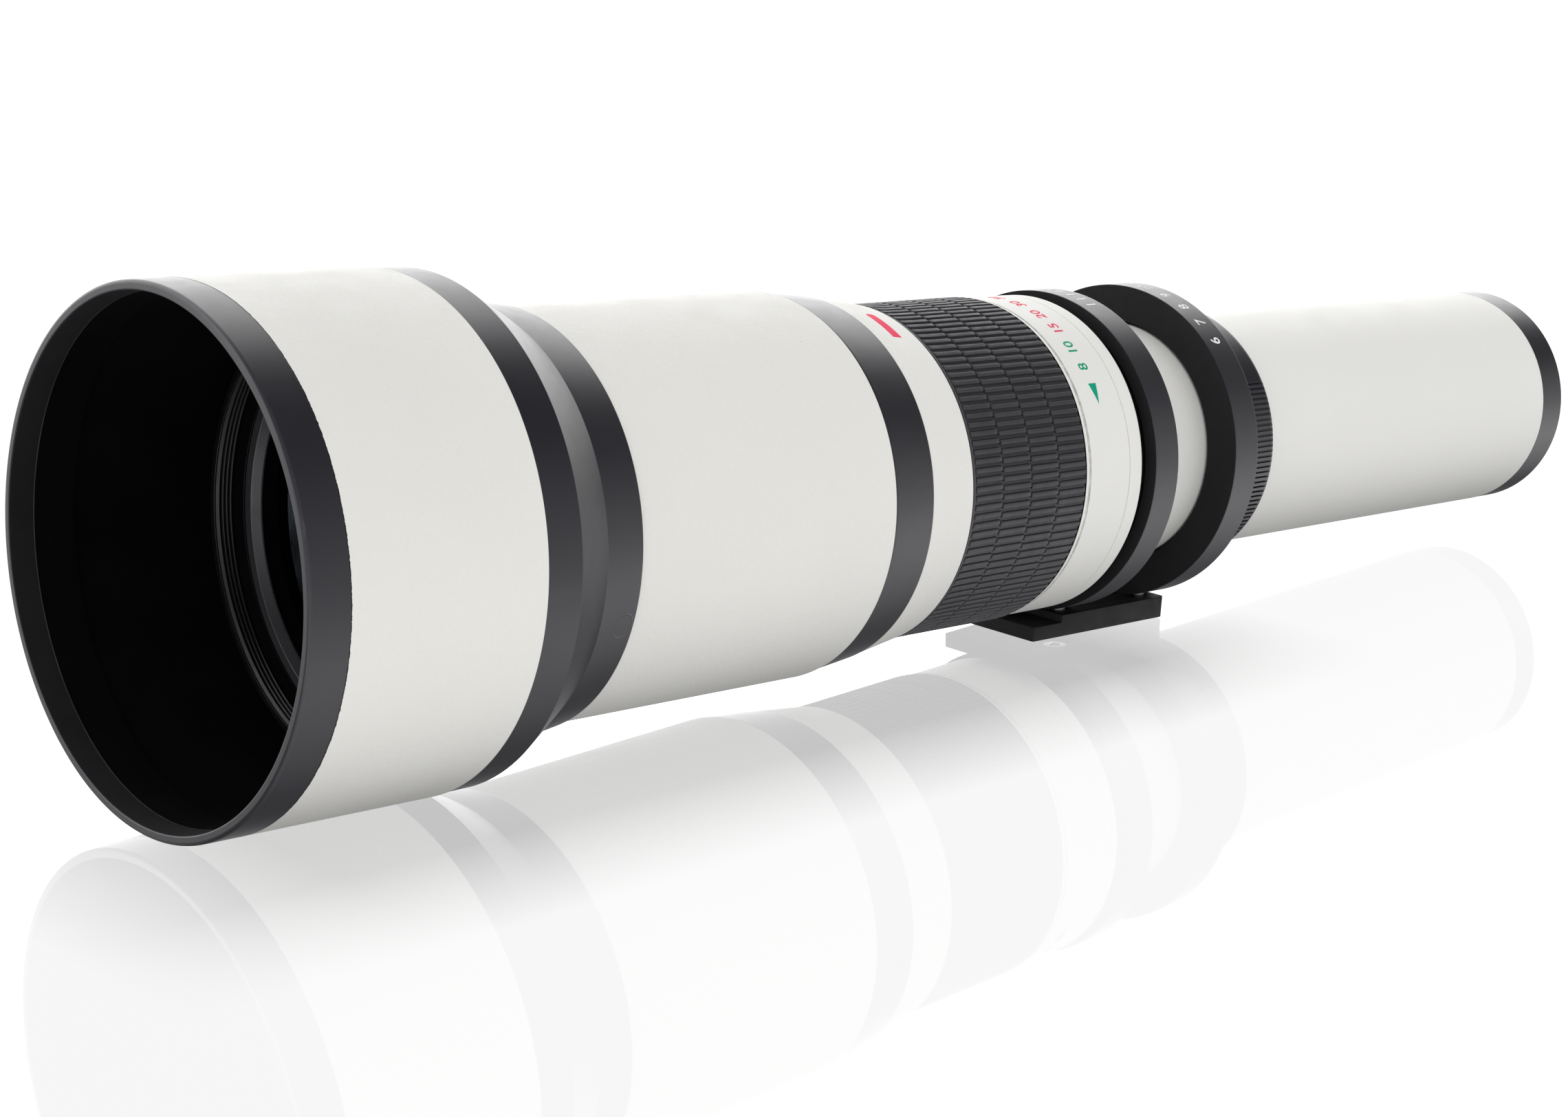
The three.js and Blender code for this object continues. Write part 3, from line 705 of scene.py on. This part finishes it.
def foot():
    bm = bmesh.new()
    near, far = ([bm.verts.new((x * MM, y * MM, z * MM)) for x, z in FOOT_OUTLINE]
                 for y in (-FOOT_HALF_WIDTH, FOOT_HALF_WIDTH))
    bm.faces.new(near)
    bm.faces.new(far[::-1])
    for i in range(len(near)):
        j = (i + 1) % len(near)
        bm.faces.new((near[i], far[i], far[j], near[j]))
    bmesh.ops.recalc_face_normals(bm, faces=bm.faces[:])
    round_foot_corners(bm, FOOT_HALF_LENGTH, radius=1.2, segments=5)
    round_foot_corners(bm, -FOOT_HALF_LENGTH, radius=0.6, segments=3)
    obj = bmesh_object("cradle_foot", bm)

    # One central hole, then a wide head hole and a narrow shank hole for each screw
    cutters = [cutter(10, 0, -1, 7, radius=3.175)]
    for x, y, _ in SCREWS:
        cutters.append(cutter(x, y, -1, 3.3, radius=3.6))
        cutters.append(cutter(x, y, 3, 7, radius=2.1))
    for tool in cutters:
        cut = obj.modifiers.new("cut", "BOOLEAN")
        cut.operation = "DIFFERENCE"
        cut.solver = "EXACT"
        cut.object = tool
    bevel = obj.modifiers.new("edge", "BEVEL")
    bevel.width = 0.28 * MM
    bevel.segments = 3
    bevel.limit_method = "ANGLE"
    bevel.angle_limit = math.radians(50)
    bpy.context.view_layer.update()
    depsgraph = bpy.context.evaluated_depsgraph_get()
    mesh = bpy.data.meshes.new_from_object(obj.evaluated_get(depsgraph))
    obj.modifiers.clear()
    obj.data = mesh
    for tool in cutters:
        bpy.data.objects.remove(tool, do_unlink=True)
    mesh.materials.clear()
    mesh.materials.append(foot_side_painted_tone)
    mesh.materials.append(foot_top_painted_tone)
    # Upward faces take the top copy, so the shading by facing is painted in.
    mesh.polygons.foreach_set("material_index",
                              [1 if q.normal.z > 0.7 else 0 for q in mesh.polygons])
    smooth(mesh, sharp=32)
    place(obj, "barrel", "black_anodised", "tripod_foot")


def foot_screw(number, x, y, top):
    """Cap screw, head down, with a hexagonal socket open underneath."""
    n = 48
    # (radius, z, hexagonal)
    rings = [(1.7, 1.9, True), (1.7, 0.55, True), (1.85, 0.4, True), (2.9, 0.4, False),
             (3.3, 0.55, False), (3.4, 0.8, False), (3.4, 3.1, False), (3.3, 3.2, False),
             (1.95, 3.2, False), (1.95, top - 0.3, False), (1.7, top, False)]
    verts = []
    for radius, z, hexagonal in rings:
        for j in range(n):
            angle = TAU * j / n
            r = radius
            if hexagonal:
                r = radius * math.cos(TAU / 12) / math.cos(angle % (TAU / 6) - TAU / 12)
            verts.append(((x + r * math.cos(angle)) * MM, (y + r * math.sin(angle)) * MM, z * MM))
    verts += [(x * MM, y * MM, rings[0][1] * MM), (x * MM, y * MM, top * MM)]
    obj = new_object(f"foot_cap_screw_{number}", verts, capped_faces(len(rings), n), [steel],
                     sharp=30)
    place(obj, "barrel", "steel", f"foot_screw_{number}")


foot()
for i, screw in enumerate(SCREWS, 1):
    foot_screw(i, *screw)


# ------------------------------------------------------------------ zoom lock ring
def lock_ring():
    """Ring with two knurled zones round it and plain stretches between them."""
    pitches = 157
    zones = 2
    zone_angle = math.radians(116)
    start = math.radians(147)
    # (station, radius, depth of the knurl's grooves)
    profile = [(286.85, 32.15, 0), (286.85, 33.7, 0), (287.1, 33.95, 0), (287.6, 33.95, 0.2),
               (288.0, 33.95, 0.55), (300.6, 33.95, 0.55), (301.2, 33.95, 0.2),
               (301.7, 33.75, 0), (302.0, 33.4, 0), (302.0, 32.15, 0)]
    steps = []      # (angle, in a groove)
    for i in range(pitches):
        middle = TAU * (i + 0.5) / pitches + start
        knurled = (middle - start) % (TAU / zones) < zone_angle
        for u in (0.0, 0.12, 0.20, 0.48, 0.56, 0.90):
            steps.append((TAU * (i + u) / pitches + start, knurled and 0.15 < u < 0.50))
    verts = [on_axis(s, angle, r - depth if groove else r)
             for s, r, depth in profile for angle, groove in steps]
    obj = new_object("lock_ring_knurled", verts, ring_faces(len(profile), len(steps)), [black],
                     sharp=32)
    place(obj, "lock_ring", "black_anodised", "zoom_lock_ring")


lock_ring()

# ------------------------------------------------------------------ zoom tube and inner parts
lathe("zoom_tube_fine", [
    (240.9, 29.2, 0.05), (240.9, TUBE_R, 0.1), (435.36, TUBE_R, 0.16), (435.36, 29.2, 0.05, 1)],
    [white_smooth, matt], "zoom_tube", "white_paint", "zoom_tube_shell")
lathe("rear_end_ring", [
    (430, 28.0, 0.05), (430, 29.1, 0.05), (435.46, 29.1, 0.02), (435.46, 30.62, 0.12),
    (445.1, 30.62, 0.3), (445.9, 29.7, 0.2), (445.9, 21.4, 0.25), (442, 21.4, 0.05),
    (442, 28.0, 0.05)],
    [black], "zoom_tube", "black_anodised", "rear_ring")
lathe("camera_thread_ring", [
    (439.5, 18.6, 0.2, 1), (439.5, 27.8, 0.1), (441.9, 27.8, 0.05), (441.9, 20.9, 0.02)]
    + thread(446.2, 450.9, base_r=20.55, ridge_r=20.9, pitch=0.75)
    + [(451.4, 20.4, 0.1), (451.4, 18.6, 0.2, 1)],
    [steel, matt], "zoom_tube", "steel", "t_mount_ring")
lathe("rear_stop_ring", band(236, 240.8, 29.3, 32.4),
      [matt], "zoom_tube", "matt_black", "zoom_stop_ring")
lathe("relay_lens_cell", [
    (244, 22.4, 0.1), (244, 29.1, 0.1), (258, 29.1, 0.1), (258, 22.4, 0.1), (256, 22.4, 0.1),
    (256, 24.6, 0.1), (246, 24.6, 0.1), (246, 22.4, 0.1)],
    [matt], "zoom_tube", "matt_black", "relay_cell")
lens("relay_glass_front", 247.6, 250.2, radius=24.5, front=1.3, back=0.6,
     body="zoom_tube", node="relay_element_1")
lens("relay_glass_rear", 252.2, 254.6, radius=24.5, front=-0.6, back=1.0,
     body="zoom_tube", node="relay_element_2")
lathe("baffle_disc", band(330, 331.5, 21, 29.1, bevel=0.05),
      [matt], "zoom_tube", "matt_black", "light_baffle")
lathe("rear_lens_cell", [
    (408, 17, 0.1), (408, 29.1, 0.1), (426, 29.1, 0.1), (426, 17, 0.3), (424, 17, 0.1),
    (424, 19.6, 0.1), (410, 19.6, 0.1), (410, 17, 0.1)],
    [matt], "zoom_tube", "matt_black", "rear_cell")
lens("rear_glass_front", 411.6, 414.2, radius=19.5, front=-0.5, back=1.1,
     body="zoom_tube", node="rear_element_1")
lens("rear_glass_rear", 417.4, 420.8, radius=19.5, front=1.2, back=0.9,
     body="zoom_tube", node="rear_element_2")
lens("focus_glass_front", 78.9, 80.6, radius=26.5, front=1.2, back=-0.6,
     body="focus_group", node="focus_element_1")
lens("focus_glass_rear", 81.2, 83.0, radius=26.5, front=-0.7, back=1.0,
     body="focus_group", node="focus_element_2")
lathe("front_tube_bush", band(241.4, 249.9, 31.0, 35.1),
      [felt], "barrel", "felt", "front_guide_bush")
lathe("rear_tube_bush", band(280.1, 285.1, 31.0, 34.1),
      [felt], "barrel", "felt", "rear_guide_bush")

# ------------------------------------------------------------------ printed markings
INK_TOP, INK_BOTTOM = 0.035, -0.06      # faces of the ink layer, from the painted surface
WRAP_STEP = 0.45                        # widest flat strip when bending round the axis

# Printed surfaces: (radius at a station, material slot)
ON_SCALE = (lambda station: SCALE_R, "white_paint")
ON_NAME_BAND = (taper(NAME_FRONT, NAME_BACK), "white_paint")
ON_CRADLE = (lambda station: CRADLE_R, "black_anodised")


def print_marking(bm, name, station, degrees, surface, ink):
    """Wraps flat faces (x along the reading direction, y up, in metres) round the axis."""
    radius_at, slot = surface
    xs = [v.co.x for v in bm.verts]
    x, end = min(xs) + WRAP_STEP * MM, max(xs)
    while x < end:
        bmesh.ops.bisect_plane(bm, geom=bm.verts[:] + bm.edges[:] + bm.faces[:],
                               plane_co=(x, 0, 0), plane_no=(1, 0, 0))
        x += WRAP_STEP * MM
    bmesh.ops.triangulate(bm, faces=bm.faces[:])
    extruded = bmesh.ops.extrude_face_region(bm, geom=bm.faces[:])["geom"]
    top = {g for g in extruded if isinstance(g, bmesh.types.BMVert)}
    for v in bm.verts:
        s = station - v.co.y / MM
        r = radius_at(s)
        angle = math.radians(degrees) - (v.co.x / MM) / r
        v.co = on_axis(s, angle, r + (INK_TOP if v in top else INK_BOTTOM))
    bmesh.ops.recalc_face_normals(bm, faces=bm.faces[:])
    obj = bmesh_object(name, bm)
    obj.data.materials.append(ink)
    place(obj, "barrel", slot)


def print_text(name, text, size, bold, *where):
    """Text of the given size, its strokes thickened by bold."""
    curve = bpy.data.curves.new(name + "_c", "FONT")
    curve.body = text
    curve.size = size * MM
    curve.align_x, curve.align_y = "CENTER", "CENTER"
    curve.offset = bold * MM
    curve.resolution_u = 5
    flat = link_object(name + "_c", curve)
    bpy.context.view_layer.update()
    depsgraph = bpy.context.evaluated_depsgraph_get()
    mesh = bpy.data.meshes.new_from_object(flat.evaluated_get(depsgraph))
    bpy.data.objects.remove(flat, do_unlink=True)
    bm = bmesh.new()
    bm.from_mesh(mesh)
    bmesh.ops.remove_doubles(bm, verts=bm.verts[:], dist=1e-7)
    print_marking(bm, name, *where)


def print_shape(name, points, *where):
    bm = bmesh.new()
    bm.faces.new([bm.verts.new((x * MM, y * MM, 0)) for x, y in points])
    print_marking(bm, name, *where)


ARROW = [(-3.1, 0.1), (2.2, -1.35), (2.2, 1.35)]
INDEX = [(-5.2, -1.5), (4.6, -1.5), (5.2, -0.9), (5.2, 0.9), (4.6, 1.5), (-5.2, 1.5)]
TICK = [(-0.3, -1.7), (0.3, -1.7), (0.3, 1.7), (-0.3, 1.7)]
# (text, angle in degrees, station, ink)
SCALE_FIGURES = [
    ("8", 136.5, 229.4, green), ("10", 128, 229.4, green), ("15", 118, 230.2, red),
    ("20", 108.5, 230.2, red), ("30", 98.5, 230.2, red), ("50", 88, 230.2, red),
    ("100", 75, 230.2, red)]

print_shape("scale_arrow", ARROW, 229.4, 146.5, ON_SCALE, green)
for i, (text, degrees, station, ink) in enumerate(SCALE_FIGURES, 1):
    print_text(f"scale_figure_{i}", text, 4.3, 0.05, station, degrees, ON_SCALE, ink)
print_shape("band_index", INDEX, 173.2, 112, ON_NAME_BAND, red)
for i in range(8):
    print_text(f"zoom_figure_{i + 1}", str(6 + i), 4.6, 0.04,
               282.2, 132 - 9.3 * i, ON_CRADLE, white_ink)
for i in range(5):
    print_shape(f"ring_tick_{i + 1}", TICK, 250.6, 107 - 5 * i, ON_CRADLE, white_ink)

# ------------------------------------------------------------------ materials of the CAD nodes
SLOT_MATERIALS = {
    "white_paint": white, "black_anodised": black, "matt_black": matt, "rubber": rubber,
    "grey_metal": grey_metal, "brass": brass, "steel": steel, "felt": felt,
    "coated_glass": glass}
node_slots = {q["node"]: q["material_slot"] for q in frame["record"]["subparts"]}
for name, obj in frame["nodes"].items():
    material = SLOT_MATERIALS[node_slots[name]]
    if len(obj.material_slots) == 0:
        obj.data.materials.append(material)
    for slot in obj.material_slots:
        slot.link = "OBJECT"
        slot.material = material


# ------------------------------------------------------------------ floor
def floor_material():
    """Pale gloss sheet: even white to the camera with a faint mirror image.

    To other rays it glows as a stand-in light, dimmer under the object as a painted shadow. Spans
    are in metres.
    """
    material = bpy.data.materials.new("studio_floor")
    g = Graph(material)
    camera_ray = g.source("LightPath", "Is Camera Ray")
    position = g.add("SeparateXYZ", {0: g.source("NewGeometry", "Position")})
    x, y = position.outputs[0], position.outputs[1]
    # Painted shadow: the glow is low under the object and higher away from it on both sides.
    near = g.remap(y, span=(-0.085, -0.042), to=(1.2, 0.28))
    far = g.remap(y, span=(0.05, 0.12), to=(0.0, 0.7))
    glow_with_painted_shadow = g.add("Emission", {"Color": (1, 1, 1), "Strength": g.math("ADD", near, far)})
    sheet = g.add("Emission", {"Color": (1, 1, 1), "Strength": 1.0})
    mirror = g.add("BsdfGlossy", {"Color": (1, 1, 1), "Roughness": 0.025})
    # Painted shadow: the mirror image is made stronger beside and under the object, which darkens
    # the floor there
    across = g.math("MULTIPLY", g.remap(y, span=(-0.078, -0.038), to=(0.0, 1.0)),
                    g.remap(y, span=(0.02, 0.07), to=(1.0, 0.0)))
    along = g.math("MULTIPLY", g.remap(x, span=(-0.31, -0.25), to=(0.0, 1.0)),
                   g.remap(x, span=(-0.01, 0.05), to=(1.0, 0.0)))
    faint, painted_shadow_extra = 0.075, 0.38      # mirror strength in the open, and added near the object
    painted_shadow_boost = g.math("MULTIPLY", g.math("MULTIPLY", across, along), painted_shadow_extra)
    view = g.mix_shader(g.math("ADD", faint, painted_shadow_boost), sheet, mirror)
    g.add("OutputMaterial", {"Surface": g.mix_shader(camera_ray, glow_with_painted_shadow, view)})
    return material


def studio_floor():
    """Sheet that touches the hood collar's lowest point and the foot's rear lower edge."""
    collar_x, collar_z = station_x(COLLAR_WIDE[0]), (AXIS - COLLAR_WIDE[1]) * MM
    slope = math.atan2(-collar_z, FOOT_HALF_LENGTH * MM - collar_x)
    bm = bmesh.new()
    bmesh.ops.create_grid(bm, x_segments=2, y_segments=2, size=14)
    floor = bmesh_object("floor", bm)
    floor.location = (collar_x, 0, collar_z - 0.3 * MM)
    floor.rotation_euler = (0, -slope, 0)
    floor.data.materials.append(floor_material())
    floor.visible_glossy = False


studio_floor()

# ------------------------------------------------------------------ world
# Brightness of the room by angle round the axis: (degrees, strength)
MIRRORED = [(0, 2.5), (22, 3.0), (57, 3.3), (69, 2.7), (82, 0.75), (96, 0.12), (130, 0.16),
            (157, 0.85), (187, 1.5), (218, 2.7), (248, 1.35), (277, 0.2), (307, 0.12),
            (326, 0.5), (345, 1.2), (360, 2.5)]
DIFFUSE = [(0, 0.6), (50, 0.6), (62, 0.86), (92, 1.0), (106, 1.3), (130, 1.3), (140, 0.30),
           (164, 0.30), (172, 1.2), (220, 1.2), (228, 0.3), (350, 0.3), (360, 0.6)]
BACKDROP = 1.02     # what the camera sees directly


def room_brightness(g, turn, stops, top):
    """Ramp through the stops, stored as shares of top and scaled back up."""
    ramp = g.add("ValToRGB", {0: turn})
    ramp.color_ramp.interpolation = "LINEAR"
    elements = ramp.color_ramp.elements
    elements[0].color = (stops[0][1] / top,) * 3 + (1,)
    elements[1].color = (stops[-1][1] / top,) * 3 + (1,)
    for degrees, strength in stops[1:-1]:
        elements.new(degrees / 360).color = (strength / top,) * 3 + (1,)
    return g.math("MULTIPLY", ramp, top)


def studio_world():
    world = bpy.data.worlds.new("studio")
    bpy.context.scene.world = world
    g = Graph(world)
    direction = g.add("SeparateXYZ", {0: g.source("TexCoord", "Generated")})
    angle = g.math("ARCTAN2", direction.outputs[2], direction.outputs[1])
    turn = g.math("FRACT", g.math("ADD", g.math("DIVIDE", angle, TAU), 1.0))
    shine = room_brightness(g, turn, MIRRORED, top=3.5)
    soft = room_brightness(g, turn, DIFFUSE, top=2.0)
    rays = g.add("LightPath", {}).outputs
    strength = g.mix_float(rays["Is Glossy Ray"], soft, shine)
    strength = g.mix_float(rays["Is Camera Ray"], strength, BACKDROP)
    background = g.add("Background", {"Color": (1, 1, 1), "Strength": strength})
    g.add("OutputWorld", {"Surface": background})


studio_world()


# ------------------------------------------------------------------ lights and camera (metres)
def softbox(name, location, target, size, power):
    light = bpy.data.lights.new(name, "AREA")
    light.shape = "RECTANGLE"
    light.size, light.size_y = size
    light.energy = power
    obj = link_object(name, light)
    obj.location = location
    aim = Vector(target) - Vector(location)
    obj.rotation_euler = aim.to_track_quat("-Z", "Y").to_euler()
    obj.visible_glossy = False


softbox("top_softbox", location=(0.0, 0.15, 1.1), target=(-0.05, 0, 0.05), size=(1.3, 0.9),
        power=0.3)
softbox("front_softbox", location=(-0.9, -1.1, 0.75), target=(-0.08, 0, 0.05), size=(0.7, 0.5),
        power=0.2)


def camera():
    data = bpy.data.cameras.new("camera")
    data.sensor_width = 36.0
    data.lens = 65.53
    data.clip_start = 0.01
    data.clip_end = 100
    right = Vector((0.7221, -0.6891, 0.0613))
    up = Vector((0.1113, 0.2032, 0.9728))
    forward = Vector((0.6828, 0.6955, -0.2235))
    pose = Matrix((right, up, -forward)).transposed().to_4x4()
    pose.translation = Vector((-0.5545, -0.4635, 0.1757))
    obj = bpy.data.objects.new("camera", data)
    obj.matrix_world = pose
    bpy.context.scene.collection.objects.link(obj)
    bpy.context.scene.camera = obj


camera()
bpy.context.scene.view_settings.view_transform = "Standard"
